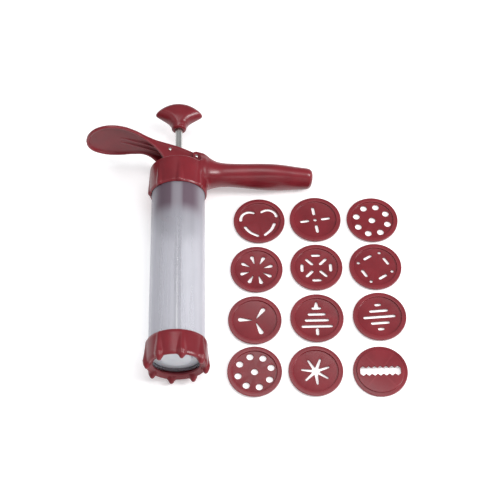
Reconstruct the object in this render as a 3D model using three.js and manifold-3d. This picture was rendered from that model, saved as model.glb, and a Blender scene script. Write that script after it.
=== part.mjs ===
// Cookie press lying on a table with its twelve patterned discs, in millimetres, +Z up.
// The tube of the press runs along Y: the nozzle end is at -Y and the knob at +Y.
import * as THREE from "three";
import { mergeVertices } from "three/addons/utils/BufferGeometryUtils.js";
import Module from "manifold-3d";

const wasm = await Module();
wasm.setup();

// ---- Driving dimensions -------------------------------------------------------------------
const GAP = 0.3; // clearance between pieces that touch or turn
const ROUND = 36; // facets of a large round piece

// Where the press lies: its axis, its height and how far it is rolled onto its handle.
const PRESS = { x: -60.69, y: -131.565, height: 29.4, roll: THREE.MathUtils.degToRad(7.8) };

// Inside the press's own group: x points to the handle, y runs from the mouth to the knob.
const TUBE = { outer: 25.2, inner: 23, bottom: 5.1, top: 189 };
const RING = {
  bottom: -2.4, mouth: 20.9, lip: 1.8, seat: 25.2, seatTop: 4.8, wall: 27.5, top: 21.6, turn: 5,
};
const COLLAR = { wall: 27.3, bottom: 177.3, top: 206.6, recess: 24.4, deck: 193.3, turn: -1.5 };
const SKIRT = { outer: 19.5, inner: 17, bottom: 158 };
const GUIDE = { outer: 6.5, bottom: 183 };
const RIB = { count: 8, ringAxis: 26.1, collarAxis: 24.75 };
const ROD = { radius: 3.5, bottom: 10.4, top: 268 };
const NOTCH = { first: 60, pitch: 5, count: 36, depth: 0.8 };
const PIVOT = { x: 16.1, y: 215.8 };
const PAWL_PIVOT = { x: -9.2, y: 224.3 };
const PIN = { radius: 1.5, segments: 16 };
const LEVER = { flangeOut: 11, flangeIn: 8.6, web: 2.6, tail: 5.2 };
const EAR = { inner: LEVER.flangeOut + 0.4, outer: 13.9, radius: 5.6 };
const HANDLE = { y: 204.4, tilt: 0.9 };
const PISTON = {
  radius: 22.6, face: 6.8, boss: 13.5, bossFace: 5.2, back: 13, web: 10, hub: 7, hubTop: 18,
};
const KNOB = { bottom: 254.9, top: 284.8, socket: ROD.top + GAP, flatness: 0.43 };

// The discs: a recessed plate inside a raised rim.
const DISC = { radius: 24.8, rim: 20.4, step: 21.3, height: 3.2, plate: 1.8, rimBottom: 1.0 };
const SLOT = 2.8; // width of a plain slot in a disc
const DISC_GRID = { columns: [9.46, 67.46, 122.96], top: 33.065, rowGap: 53.4 };

// ---- Colours ------------------------------------------------------------------------------
const FINISH = {
  red: { color: 0x8a1f2c, roughness: 0.32, metalness: 0 },
  frosted: { color: 0xc9c6d2, roughness: 0.45, metalness: 0, transparent: true, opacity: 0.6 },
  steel: { color: 0xb9b9b4, roughness: 0.25, metalness: 1 },
  white: { color: 0xe4e4e6, roughness: 0.4, metalness: 0 },
};

// ---- Solids -------------------------------------------------------------------------------
// A closed three.js geometry becomes a solid once its shared corners are one vertex.
function solid(geometry) {
  const bare = new THREE.BufferGeometry();
  bare.setAttribute("position", geometry.getAttribute("position"));
  if (geometry.index) bare.setIndex(geometry.index);
  const merged = mergeVertices(bare, 1e-4);
  const triangles = [];
  const index = merged.index.array;
  for (let i = 0; i < index.length; i += 3) {
    const [a, b, c] = index.slice(i, i + 3);
    if (a !== b && b !== c && c !== a) triangles.push(a, b, c);
  }
  return new wasm.Manifold(new wasm.Mesh({
    numProp: 3,
    vertProperties: new Float32Array(merged.getAttribute("position").array),
    triVerts: new Uint32Array(triangles),
  }));
}

function geometryOf(body) {
  const mesh = body.getMesh();
  const geometry = new THREE.BufferGeometry();
  geometry.setAttribute("position", new THREE.BufferAttribute(mesh.vertProperties, 3));
  geometry.setIndex(new THREE.BufferAttribute(mesh.triVerts, 1));
  geometry.computeVertexNormals();
  return geometry;
}

const join = (first, ...others) => others.reduce((body, other) => body.add(other), first);
const cut = (first, ...others) => others.reduce((body, other) => body.subtract(other), first);

// Turned solids: the profile lists [radius, y] anticlockwise, outer wall going up.
function turnedGeometry(profile, segments) {
  const points = profile.map(([radius, y]) => new THREE.Vector2(radius, y));
  return new THREE.LatheGeometry(points, segments);
}
const turned = (profile, segments = ROUND) => solid(turnedGeometry(profile, segments));
const rod = (radius, y0, y1, segments = ROUND) =>
  turned([[0, y0], [radius, y0], [radius, y1], [0, y1]], segments);
const tube = (outer, inner, y0, y1, segments = ROUND) =>
  turned([[inner, y0], [outer, y0], [outer, y1], [inner, y1], [inner, y0]], segments);

// Plates: an outline in x and y, given thickness along z.
function plateGeometry(outline, z0, z1) {
  const shape = outline instanceof THREE.Shape ? outline
    : new THREE.Shape(outline.map(([x, y]) => new THREE.Vector2(x, y)));
  const geometry = new THREE.ExtrudeGeometry(shape, {
    depth: z1 - z0, bevelEnabled: false, curveSegments: 10,
  });
  return geometry.translate(0, 0, z0);
}
const plate = (outline, z0, z1) => solid(plateGeometry(outline, z0, z1));

function pinAt({ x, y }, radius, halfLength, segments = PIN.segments) {
  const geometry = new THREE.CylinderGeometry(radius, radius, 2 * halfLength, segments);
  return solid(geometry.rotateX(Math.PI / 2).translate(x, y, 0));
}

// A smooth line through a few points, sampled into steps.
function smooth(points, steps) {
  const curve = new THREE.SplineCurve(points.map(([x, y]) => new THREE.Vector2(x, y)));
  return curve.getPoints(steps).map((p) => [p.x, p.y]);
}

function arc(cx, cy, radius, fromDegrees, toDegrees, steps) {
  const curve = new THREE.ArcCurve(cx, cy, radius, THREE.MathUtils.degToRad(fromDegrees),
    THREE.MathUtils.degToRad(toDegrees), toDegrees < fromDegrees);
  return curve.getPoints(steps).map((p) => [p.x, p.y]);
}

// A round wire wound into a coil about the y axis.
function coil(radius, wire, length, turns) {
  class Helix extends THREE.Curve {
    getPoint(t, target = new THREE.Vector3()) {
      const angle = 2 * Math.PI * turns * t;
      return target.set(radius * Math.cos(angle), length * t, radius * Math.sin(angle));
    }
  }
  const section = new THREE.Shape();
  section.absarc(0, 0, wire, 0, 2 * Math.PI);
  return new THREE.ExtrudeGeometry(section, {
    extrudePath: new Helix(), steps: turns * 8, bevelEnabled: false, curveSegments: 3,
  });
}

// ---- Meshes -------------------------------------------------------------------------------
const model = new THREE.Group();
const press = new THREE.Group();
press.position.set(PRESS.x, PRESS.y, PRESS.height);
press.rotation.y = PRESS.roll;
model.add(press);

function place(group, name, body, finish) {
  const mesh = new THREE.Mesh(geometryOf(body), new THREE.MeshStandardMaterial(FINISH[finish]));
  mesh.name = name;
  group.add(mesh);
  return mesh;
}

// ---- Ribs shared by the nozzle ring and the head's collar ----------------------------------
// Each rib starts flush with the wall at its narrow end and swells towards the other.
function ribs(profile, axis, turnDegrees) {
  const bodies = [];
  for (let i = 0; i < RIB.count; i++) {
    const geometry = turnedGeometry(profile, 10).translate(axis, 0, 0);
    const angle = THREE.MathUtils.degToRad(turnDegrees + (360 * i) / RIB.count);
    bodies.push(solid(geometry.rotateY(angle)));
  }
  return bodies;
}

// ---- Barrel -------------------------------------------------------------------------------
place(press, "barrel_tube", tube(TUBE.outer, TUBE.inner, TUBE.bottom, TUBE.top), "frosted");

// ---- Nozzle ring: screws onto the tube and holds a disc against its lip ---------------------
function nozzleRing() {
  const { bottom, mouth, lip, seat, seatTop, wall, top } = RING;
  const outside = turned([
    [0, bottom], [26, bottom], [27.1, bottom + 1], [wall, bottom + 3], [wall, top - 3],
    [26.9, top - 0.6], [26.3, top], [0, top],
  ]);
  const funnel = turned([[0, bottom - 1], [25.6, bottom - 1], [25.6, bottom], [mouth, 0], [0, 0]]);
  const feet = ribs(
    [[0, -6.5], [1.4, -6.5], [2.4, -5.4], [3.4, -2.6], [3.9, 1], [1.3, 20], [0, 20]],
    RIB.ringAxis, RING.turn,
  );
  const throat = mouth + 1.2;
  const thread = TUBE.outer + GAP;
  const bore = turned([
    [0, -8], [throat, -8], [throat, -0.6], [mouth, 0], [mouth, lip], [seat, lip], [seat, seatTop],
    [thread, seatTop], [thread, 24], [0, 24],
  ]);
  return cut(join(cut(outside, funnel), ...feet), bore);
}
place(press, "nozzle_ring", nozzleRing(), "red");

// ---- Head: collar, deck, handle and the two ears of the lever's pivot -----------------------
// The handle is a turned grip whose section is widened across the press, most of all near its end.
function handle() {
  const grip = [
    [20, 16.8], [24, 16.4], [27, 15], [30, 13.7], [36, 11.9], [42, 11], [50, 10.7], [62, 10.8],
    [75, 11.1], [88, 11.2], [100, 10.8], [112, 9.9], [120, 9.5], [125.5, 9.1], [128.4, 8],
    [129.9, 5.8], [130.4, 3],
  ];
  const profile = [[0, grip[0][0]], ...grip.map(([x, r]) => [r, x]), [0, 130.6]];
  const geometry = turnedGeometry(profile, 20).rotateZ(-Math.PI / 2);
  const position = geometry.getAttribute("position");
  for (let i = 0; i < position.count; i++) {
    const wider = 0.28 * THREE.MathUtils.smoothstep(position.getX(i), 40, 95);
    const narrower = 0.1 * THREE.MathUtils.smoothstep(position.getX(i), 105, 130);
    position.setZ(i, position.getZ(i) * (1.16 + wider - narrower));
  }
  geometry.rotateZ(THREE.MathUtils.degToRad(HANDLE.tilt));
  return solid(geometry.translate(0, HANDLE.y, 0));
}

// Ears and hump: one outline, narrowed towards the grip and slotted for the lever.
function hump() {
  const outline = [
    [36, 199], [36, 209.5], [30.4, 214.3], [25.6, 218.2],
    ...arc(PIVOT.x, PIVOT.y, EAR.radius, 60, 132, 6), [PIVOT.x - 3.8, COLLAR.deck - 1],
    [24, COLLAR.deck - 1],
  ];
  const sides = [[0, EAR.outer], [25, EAR.outer], [37, 8], [37, -8], [25, -EAR.outer], [0, -EAR.outer]];
  const plan = plateGeometry(sides, -230, -190).rotateX(Math.PI / 2);
  return plate(outline, -EAR.outer, EAR.outer).intersect(solid(plan));
}

function head() {
  const collar = turned([
    [0, COLLAR.bottom], [26.3, COLLAR.bottom], [COLLAR.wall, COLLAR.bottom + 2],
    [COLLAR.wall, COLLAR.top - 1.4], [26.9, COLLAR.top - 0.4], [26.2, COLLAR.top], [0, COLLAR.top],
  ]);
  const sideRibs = ribs(
    [[0, COLLAR.bottom], [3.3, COLLAR.bottom], [4.2, 179], [4.2, 180.6], [2.5, 203], [0, 203]],
    RIB.collarAxis, COLLAR.turn,
  ).slice(1); // the handle's root takes the place of the first
  const bore = rod(TUBE.outer + GAP, 175, TUBE.top + GAP);
  const recess = rod(COLLAR.recess, COLLAR.deck, COLLAR.top + 30);
  const skirt = tube(SKIRT.outer, SKIRT.inner, SKIRT.bottom, TUBE.top + 1);
  const guide = rod(GUIDE.outer, GUIDE.bottom, TUBE.top + 1, 24);
  const shell = join(cut(join(collar, ...sideRibs, handle()), bore, recess), skirt, guide, hump());
  const leverSlot = plate(
    [[-2, COLLAR.deck], [22.8, COLLAR.deck], [22.8, 230], [-2, 230]], -EAR.inner, EAR.inner,
  );
  const rodHole = rod(ROD.radius + 0.4, 150, 230, 24);
  const pinHole = pinAt(PIVOT, PIN.radius + GAP, 20);
  return cut(shell, leverSlot, rodHole, pinHole);
}
place(press, "head", head(), "red");

// ---- Lever: a paddle on a channel, pivoted between the ears --------------------------------
function lever() {
  const top = smooth([
    [16, 220.8], [0, 227.5], [-10, 230.5], [-22, 233.8], [-34, 237.2], [-48, 239.7], [-62, 240.5],
    [-77, 239.6], [-90, 237.4],
  ], 28);
  const under = top.map(([x, y]) => [x, y - LEVER.web - 1.2 * THREE.MathUtils.smoothstep(-x, 30, 60)]);
  const strip = plate([...top, ...under.reverse()], -24, 24);

  const edge = smooth([
    [-22, 11], [-29, 12], [-35, 14], [-41, 16.9], [-47, 19.3], [-53, 21.5], [-59, 22.7], [-65, 23],
    [-71, 22.3], [-77, 20.1], [-82, 16.9], [-86, 12.3], [-88.7, 6.5],
  ], 16);
  const mirrored = edge.map(([x, z]) => [x, -z]).reverse();
  const plan = plateGeometry([[18, 11], ...edge, [-89.8, 0], ...mirrored, [18, -11]], 0, 40);
  const face = strip.intersect(solid(plan.rotateX(Math.PI / 2).translate(0, 250, 0)));

  const flangeOutline = [
    ...arc(PIVOT.x, PIVOT.y, LEVER.tail, 70, -90, 8), [8, 205.5], [-12.5, 205.5],
    [-15.5, 213.8], [-25, 225], [-34, 232.2], [-46, 236.2], [-46, 237.8], [-34, 235.6], [-22, 232.2],
    [-10, 229], [0, 226],
  ];
  const near = plate(flangeOutline, LEVER.flangeIn, LEVER.flangeOut);
  const far = plate(flangeOutline, -LEVER.flangeOut, -LEVER.flangeIn);
  const rodSlot = plate([[-5.2, 215], [7.2, 215], [7.2, 240], [-5.2, 240]], -4.6, 4.6);
  const holes = [PIVOT, PAWL_PIVOT].map((spot) => pinAt(spot, PIN.radius + GAP, 20));
  return cut(join(face, near, far), rodSlot, ...holes);
}
place(press, "lever", lever(), "red");
place(press, "lever_pin", pinAt(PIVOT, PIN.radius, EAR.outer + GAP), "steel");
place(press, "pawl_pin", pinAt(PAWL_PIVOT, PIN.radius, LEVER.flangeOut + GAP), "steel");

// ---- Pawl: hangs on its pin beside the rod and bites its notches ----------------------------
function pawl() {
  const { x, y } = PAWL_PIVOT;
  const outline = [
    ...arc(x, y, 2.9, 0, 200, 8), [x - 1.6, y - 8], [-4.2, y - 10], [-4.2, y - 8.4], [-5.4, y - 4],
  ];
  return cut(plate(outline, -3.8, 3.8), pinAt(PAWL_PIVOT, PIN.radius + GAP, 10));
}
place(press, "pawl", pawl(), "steel");

// ---- Springs --------------------------------------------------------------------------------
const pawlSpring = coil(2.4, 0.42, 3.0, 3).rotateX(Math.PI / 2);
place(press, "pawl_spring", solid(pawlSpring.translate(PAWL_PIVOT.x, PAWL_PIVOT.y, 4.9)), "steel");

const leverSpring = coil(2.7, 0.55, 23.2, 6).translate(10.6, COLLAR.deck + 0.95, 0);
place(press, "lever_spring", solid(leverSpring), "steel");

// ---- Push rod, knob and piston ---------------------------------------------------------------
function pushRod() {
  const shaft = rod(ROD.radius, ROD.bottom, ROD.top, 16);
  const teeth = [];
  for (let i = 0; i < NOTCH.count; i++) {
    const y = NOTCH.first + i * NOTCH.pitch;
    const floor = -ROD.radius + NOTCH.depth;
    teeth.push(plate([[-4, y - 1.1], [floor, y], [-4, y]], -4, 4));
  }
  return cut(shaft, ...teeth);
}
place(press, "push_rod", pushRod(), "steel");

// The knob's neck is round; its head is wide along x and thin along z.
function knob() {
  const side = [
    [5.4, KNOB.bottom], [7, 255.9], [7.6, 258.2], [8.6, 261.2], [10.9, 264.4], [15, 267.4],
    [19.8, 269.9], [22.6, 271.4], [23.3, 273.2], [22.5, 275.3], [19, 278.6], [13.4, 281.8], [7, 284],
  ];
  const profile = [[0, KNOB.bottom], ...side, [0, KNOB.top]];
  const geometry = turnedGeometry(profile, 20);
  const position = geometry.getAttribute("position");
  for (let i = 0; i < position.count; i++) {
    const widening = THREE.MathUtils.smoothstep(position.getY(i), 258, 273);
    position.setZ(i, position.getZ(i) * THREE.MathUtils.lerp(1, KNOB.flatness, widening));
  }
  return cut(solid(geometry), rod(ROD.radius + GAP, 240, KNOB.socket, 20));
}
place(press, "rod_knob", knob(), "red").rotation.y = -PRESS.roll / 2; // its wide head lies nearly level

function piston() {
  const { radius, face, boss, bossFace, back, web, hub, hubTop } = PISTON;
  const socket = ROD.radius + GAP;
  return turned([
    [0, bossFace], [boss, bossFace], [boss + 0.8, face], [radius - 0.6, face], [radius, face + 0.6],
    [radius, back], [radius - 1.7, back], [radius - 1.7, web], [hub, web], [hub, hubTop],
    [socket, hubTop], [socket, web], [0, web],
  ]);
}
place(press, "piston", piston(), "white");
place(press, "piston_clip", tube(6.4, ROD.radius + GAP, PISTON.hubTop + GAP, 19.9, 24), "steel");

// ---- Discs ------------------------------------------------------------------------------------
// Cutters, each an outline in the disc's own x and y.
const radians = THREE.MathUtils.degToRad;
const polar = (radius, degrees) => [radius * Math.cos(radians(degrees)), radius * Math.sin(radians(degrees))];

// A slot along a line of points whose width may change from its start to its end.
function slot(line, width = SLOT, endWidth = width) {
  const left = [];
  const right = [];
  line.forEach(([x, y], i) => {
    const [ax, ay] = line[Math.max(i - 1, 0)];
    const [bx, by] = line[Math.min(i + 1, line.length - 1)];
    const length = Math.hypot(bx - ax, by - ay);
    const half = THREE.MathUtils.lerp(width, endWidth, i / (line.length - 1)) / 2;
    const [nx, ny] = [(-half * (by - ay)) / length, (half * (bx - ax)) / length];
    left.push([x + nx, y + ny]);
    right.push([x - nx, y - ny]);
  });
  return [...right, ...left.reverse()];
}
const ray = (degrees, from, to, width, endWidth) =>
  slot([polar(from, degrees), polar(to, degrees)], width, endWidth);
const bar = (y, length, width) => slot([[-length / 2, y], [length / 2, y]], width);
const crossBar = (degrees, radius, length) => {
  const [x, y] = polar(radius, degrees);
  const [dx, dy] = polar(length / 2, degrees + 90);
  return slot([[x - dx, y - dy], [x + dx, y + dy]]);
};
const hole = ([x, y], radius, steps = 10) => arc(x, y, radius, 0, 360, steps).slice(0, -1);
const around = (count, make) => Array.from({ length: count }, (_, i) => make((360 * i) / count));
const mirror = (outline) => outline.map(([x, y]) => [-x, y]).reverse();

function heartCuts() {
  const lobe = slot(arc(8.9, 3.6, 8.4, 134, -8, 7));
  const side = slot(smooth([[14.9, -3.4], [10.2, -10.7], [2.4, -16.4]], 5));
  return [lobe, side, mirror(lobe), mirror(side)];
}

function ribbonCut() {
  const teeth = 7;
  const pitch = 5.2;
  const start = -(teeth * pitch) / 2;
  const upper = [];
  for (let i = 0; i < teeth; i++) {
    upper.push([start + i * pitch, 2.9], [start + (i + 0.5) * pitch, 4.9]);
  }
  upper.push([-start, 2.9]);
  return [[...upper.map(([x, y]) => [x, -y]), ...upper.reverse()]];
}

const nineHoles = () => [hole([0, 0], 3.2), ...around(8, (a) => hole(polar(15.4, a), 3.2))];

const PATTERNS = {
  heart: heartCuts(),
  cross: [hole([0, 0], 1.6, 8), ...around(4, (a) => ray(a, 5.6, 14.7))],
  nine_hole_a: nineHoles(),
  flower: around(8, (a) => ray(a, 7, 16, 0.6, 3.6)),
  cross_bars: [...around(4, (a) => ray(a + 45, 4.3, 14)), ...around(4, (a) => crossBar(a, 13.5, 8.8))],
  square: [
    ...around(4, (a) => crossBar(a, 12.5, 9.1)), ...around(4, (a) => hole(polar(16.3, a + 41), 1.5, 8)),
  ],
  propeller: around(3, (a) => ray(a, 2.6, 15.6, 0.7, 4.3)),
  tree: [
    [...slot([[0, 17], [0, 10]], 2, 4.2)].reverse(), bar(10.7, 9), bar(4.4, 16.6), bar(-1.8, 22.4),
    bar(-8.1, 28.8), slot([[0, -8.1], [0, -17.4]]),
  ],
  bars: [12.6, 6.3, 0, -6.3, -12.6].map((y) => bar(y, { 0: 30, 6: 17.5, 12: 6.2 }[Math.floor(Math.abs(y))])),
  nine_hole_b: nineHoles(),
  star: [hole([0, 0], 3.2, 14), ...around(7, (a) => ray(a, 1, 13.3, 3.2, 2))],
  ribbon: ribbonCut(),
};

// The blank, then its pattern turned to the way that disc happens to lie.
function disc(pattern, turn) {
  const { radius, rim, step, height, plate: floor, rimBottom } = DISC;
  const blank = solid(turnedGeometry([
    [0, 0], [step, 0], [step, rimBottom], [radius, rimBottom], [radius, height],
    [rim, height], [rim, floor], [0, floor],
  ], 30).rotateX(Math.PI / 2));
  const cutters = PATTERNS[pattern].map((outline) => {
    const geometry = plateGeometry(outline, -1, height + 1);
    return solid(geometry.rotateZ(radians(turn)));
  });
  return cut(blank, ...cutters);
}

// Four rows of three; each entry is pattern, turn in degrees, and its slip from the grid.
const DISC_ROWS = [
  [["heart", 7, 6.6, 0.5], ["cross", 7.5, 2.7, 1.2], ["nine_hole_a", 28, 2.1, -0.4]],
  [["flower", 16.5, 2.8, -0.1], ["cross_bars", 0, 1.3, 1.1], ["square", 31.5, 1.4, 0.6]],
  [["propeller", 54.5, 0, -0.6], ["tree", 0, -0.8, 0.3], ["bars", 3.5, 1.5, 0.8]],
  [["nine_hole_b", 14.5, -1.4, 0.5], ["star", 18, -4.4, 0], ["ribbon", 0, -1.8, -1.3]],
];
DISC_ROWS.forEach((row, r) => {
  row.forEach(([pattern, turn, slipX, slipY], c) => {
    const mesh = place(model, `disc_${pattern}`, disc(pattern, turn), "red");
    mesh.position.set(DISC_GRID.columns[c] + slipX, DISC_GRID.top - r * DISC_GRID.rowGap + slipY, 0);
    if (pattern === "ribbon") {
      mesh.rotation.x = Math.PI; // this one lies face down
      mesh.position.z = DISC.height;
    }
  });
});

export default model;
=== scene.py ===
import itertools
import math

import bmesh
import bpy
import numpy as np
from mathutils import Matrix, Vector


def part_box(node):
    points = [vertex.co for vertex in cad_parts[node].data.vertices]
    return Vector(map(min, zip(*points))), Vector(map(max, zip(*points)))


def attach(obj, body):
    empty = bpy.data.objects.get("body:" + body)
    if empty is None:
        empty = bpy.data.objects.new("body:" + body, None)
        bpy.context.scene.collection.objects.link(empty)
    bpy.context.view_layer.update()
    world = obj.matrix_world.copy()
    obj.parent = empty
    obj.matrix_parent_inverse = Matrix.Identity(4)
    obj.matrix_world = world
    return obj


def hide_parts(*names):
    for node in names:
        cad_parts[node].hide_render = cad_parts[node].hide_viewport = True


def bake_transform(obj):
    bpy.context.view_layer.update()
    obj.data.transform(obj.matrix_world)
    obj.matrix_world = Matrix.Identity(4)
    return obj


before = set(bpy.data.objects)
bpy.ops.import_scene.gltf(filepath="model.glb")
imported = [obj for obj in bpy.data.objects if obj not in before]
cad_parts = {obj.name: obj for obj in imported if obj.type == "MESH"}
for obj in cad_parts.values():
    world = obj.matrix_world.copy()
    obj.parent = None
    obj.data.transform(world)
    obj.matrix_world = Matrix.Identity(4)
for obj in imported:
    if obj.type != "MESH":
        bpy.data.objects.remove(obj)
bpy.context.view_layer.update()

# ==== Barrel tube =============================================================================
# A length of frosted clear plastic tube that holds the dough. Its walls are plain and straight,
# and its two lips are slightly rounded where the ring and the collar close over them.
TUBE_OUTER, TUBE_INNER, TUBE_BOTTOM, TUBE_TOP = 25.2, 23.0, 5.1, 189.0
ROLL = math.radians(7.8)  # the press lies rolled onto its handle
PAINTED_SHADE_SPAN = 0.136, 0.157  # metres from the mouth over which the head's shade is painted into the tube's colour

# The press's own axes, in millimetres: x to the handle, y from the mouth to the knob.
tube_low, tube_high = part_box("barrel_tube")
tube_middle = (tube_low + tube_high) / 2
mouth = Vector((tube_middle.x, tube_low.y - TUBE_BOTTOM / 1000, tube_middle.z))
PRESS_AXES = (
    Matrix.Translation(mouth) @ Matrix.Rotation(ROLL, 4, "Y") @ Matrix.Scale(0.001, 4)
)
ALONG_PRESS = PRESS_AXES @ Matrix.Rotation(math.radians(-90), 4, "X")  # turned pieces


class Wire:
    """An output inside a node tree. Arithmetic on it adds Math nodes."""

    def __init__(self, tree, socket=None):
        self.tree, self.socket = tree, socket

    def node(self, kind, settings=None, inputs=None, output=0):
        made = self.tree.nodes.new(kind)
        for name, value in (settings or {}).items():
            setattr(made, name, value)
        for name, value in (inputs or {}).items():
            if isinstance(value, Wire):
                self.tree.links.new(value.socket, made.inputs[name])
            else:
                made.inputs[name].default_value = value
        return Wire(self.tree, made.outputs[output] if made.outputs else None)

    def sum_of(self, operation, first, second):
        return self.node("ShaderNodeMath", {"operation": operation}, {0: first, 1: second})

    def __add__(self, other):
        return self.sum_of("ADD", self, other)

    def __sub__(self, other):
        return self.sum_of("SUBTRACT", self, other)

    def __mul__(self, other):
        return self.sum_of("MULTIPLY", self, other)

    __radd__, __rmul__ = __add__, __mul__


def noise(wire, place, scale, detail=2.0):
    """Cloudy variation about 0.5."""
    return wire.node("ShaderNodeTexNoise", {}, {"Vector": place, "Scale": scale, "Detail": detail})


def blend_colours(wire, amount, first, second):
    mix = {"data_type": "RGBA", "clamp_factor": True}
    return wire.node("ShaderNodeMix", mix, {0: amount, 6: first, 7: second}, 2)


def finish_of(name, recipe):
    """A material. The recipe is given a Wire and returns the inputs of its Principled shader."""
    material = bpy.data.materials.new(name)
    material.use_nodes = True
    material.node_tree.nodes.clear()
    wire = Wire(material.node_tree)
    shader = wire.node("ShaderNodeBsdfPrincipled", {}, recipe(wire))
    wire.node("ShaderNodeOutputMaterial", {}, {"Surface": shader})
    return material


def frosted_recipe(wire):
    """Cloudy plastic: a grey skin that is half see-through, with shade painted in under the head, where it
    is darker and less see-through.
    """
    place = wire.node("ShaderNodeTexCoord", output="Object")
    drawn = wire.node("ShaderNodeMapping", {}, {"Vector": place, "Scale": (160, 7, 160)})
    cloud, grain = noise(wire, drawn, 1.0, 2), noise(wire, place, 2600, 1)
    along = wire.node("ShaderNodeSeparateXYZ", {}, {"Vector": place}, 1) - mouth.y
    across = wire.node("ShaderNodeSeparateXYZ", {}, {"Vector": place}, 0) - mouth.x

    def ramp(value, start, end):
        return wire.node("ShaderNodeMapRange", {"interpolation_type": "SMOOTHSTEP"}, {
            "Value": value, "From Min": start, "From Max": end})

    # Painted shade: the head shadows the tube's inside, so the colour is darkened from a little below the
    # collar upwards, less towards the sides.
    sides = ramp(across * across, 0.014**2, 0.025**2)
    rod_line = ramp(across * across, 0.0065**2, 0.001**2)  # the painted shade is lifted along the middle, so the rod shows as a paler line
    painted_shade = ramp(along, *PAINTED_SHADE_SPAN) * (sides * -0.7 + 1) * (rod_line * -0.45 + 1)
    pale = blend_colours(wire, cloud, (0.51, 0.51, 0.57, 1), (0.61, 0.61, 0.66, 1))
    return {
        # The dark purple-grey is the painted shadow inside the tube under the head.
        "Base Color": blend_colours(wire, painted_shade, pale, (0.15, 0.105, 0.135, 1)),
        "Roughness": grain * 0.1 + 0.42,
        "Specular IOR Level": 0.3,
        # The painted shade also makes the skin less see-through.
        "Alpha": cloud * 0.08 + painted_shade * 0.36 + sides * 0.22 + 0.33,
        "Normal": wire.node("ShaderNodeBump", {}, {"Strength": 0.2, "Distance": 0.00004, "Height": grain}),
    }


frosted = finish_of("frosted_plastic", frosted_recipe)


def eased(line, radius, steps=4):
    """An outline with its corners rounded. Points on a turned piece's axis stay as they are."""
    out = []
    points = [Vector(p) for p in line]
    for before, corner, after in zip(points[-1:] + points[:-1], points, points[1:] + points[:1]):
        if corner.x < 1e-6:
            out.append(tuple(corner))
            continue
        back, ahead = before - corner, after - corner
        reach = min(radius, 0.45 * back.length, 0.45 * ahead.length)
        start, end = corner + back.normalized() * reach, corner + ahead.normalized() * reach
        for i in range(steps + 1):
            t = i / steps
            out.append(tuple((1 - t) ** 2 * start + 2 * t * (1 - t) * corner + t * t * end))
    return out


def turned(profile, segments):
    """A closed mesh turned about z from a closed line of (radius, height)."""
    points, rings = [], []
    for radius, height in profile:
        count = segments if radius > 1e-6 else 1
        rings.append([len(points) + i for i in range(count)])
        for i in range(count):
            angle = 2 * math.pi * i / segments
            points.append((radius * math.cos(angle), radius * math.sin(angle), height))
    faces = []
    for low, high in zip(rings, rings[1:] + rings[:1]):
        for i in range(segments):
            face = [low[i % len(low)], low[(i + 1) % len(low)]]
            face += [high[(i + 1) % len(high)], high[i % len(high)]]
            face = list(dict.fromkeys(face))
            if len(face) > 2:
                faces.append(face)
    mesh = bpy.data.meshes.new("turned")
    mesh.from_pydata(points, [], faces)
    return mesh


def finish_mesh(mesh, place, sharp=40, outwards=True):
    """Puts a mesh in its place, closes its seams, turns its faces outwards and smooths it."""
    shape = bmesh.new()
    shape.from_mesh(mesh)
    bmesh.ops.remove_doubles(shape, verts=shape.verts, dist=1e-5)
    if outwards:
        bmesh.ops.recalc_face_normals(shape, faces=shape.faces)
    shape.to_mesh(mesh)
    shape.free()
    mesh.transform(place)
    mesh.shade_smooth()
    mesh.set_sharp_from_angle(angle=math.radians(sharp))
    return mesh


def mark_edges(mesh, rounds=2):
    """Stores how convex the skin is at each point, as the attribute "edge"."""
    count = len(mesh.vertices)
    place, normal = np.zeros(count * 3), np.zeros(count * 3)
    mesh.vertices.foreach_get("co", place)
    mesh.vertices.foreach_get("normal", normal)
    ends = np.zeros(len(mesh.edges) * 2, int)
    mesh.edges.foreach_get("vertices", ends)
    place, normal, (a, b) = place.reshape(-1, 3), normal.reshape(-1, 3), ends.reshape(-1, 2).T
    step = place[b] - place[a]
    span = np.maximum((step**2).sum(1), 1e-12)
    bend = np.zeros(count)
    np.add.at(bend, a, -(step * normal[a]).sum(1) / span)
    np.add.at(bend, b, (step * normal[b]).sum(1) / span)
    shares = np.maximum(np.bincount(ends, minlength=count), 1)
    bend = bend / shares / 1000
    for _ in range(rounds):
        total = np.bincount(a, bend[b], count) + np.bincount(b, bend[a], count)
        bend = 0.5 * bend + 0.5 * total / shares
    attribute = mesh.attributes.new("edge", "FLOAT", "POINT")
    attribute.data.foreach_set("value", np.clip(bend * 2.2, 0, 1).astype(np.float32))


def piece(name, mesh, material, body, slot, *nodes):
    """A finished mesh becomes a piece that rides on a body and stands for its CAD node."""
    mark_edges(mesh)
    mesh.name = name
    mesh.materials.clear()
    mesh.materials.append(material)
    made = bpy.data.objects.new(name, mesh)
    bpy.context.scene.collection.objects.link(made)
    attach(made, body)
    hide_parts(*nodes)
    return made


tube_line = [
    (TUBE_OUTER, TUBE_BOTTOM), (TUBE_OUTER, TUBE_TOP), (TUBE_INNER, TUBE_TOP),
    (TUBE_INNER, TUBE_BOTTOM),
]
tube_mesh = finish_mesh(turned(eased(tube_line, 0.5), 160), ALONG_PRESS)
piece("frosted_tube", tube_mesh, frosted, "press", "frosted_tube", "barrel_tube")

# ==== Nozzle ring =============================================================================
# A deep red moulded ring that screws over the tube's mouth and traps a disc against its lip.
# Eight ribs give grip, and each ends below the wall in a rounded foot.
RIB_COUNT, RING_RIB_AXIS, RING_TURN = 8, 26.1, 5.0
RED, RED_DEEP, RED_WORN = (0.20, 0.0115, 0.019, 1), (0.125, 0.0075, 0.0125, 1), (0.33, 0.045, 0.058, 1)


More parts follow.
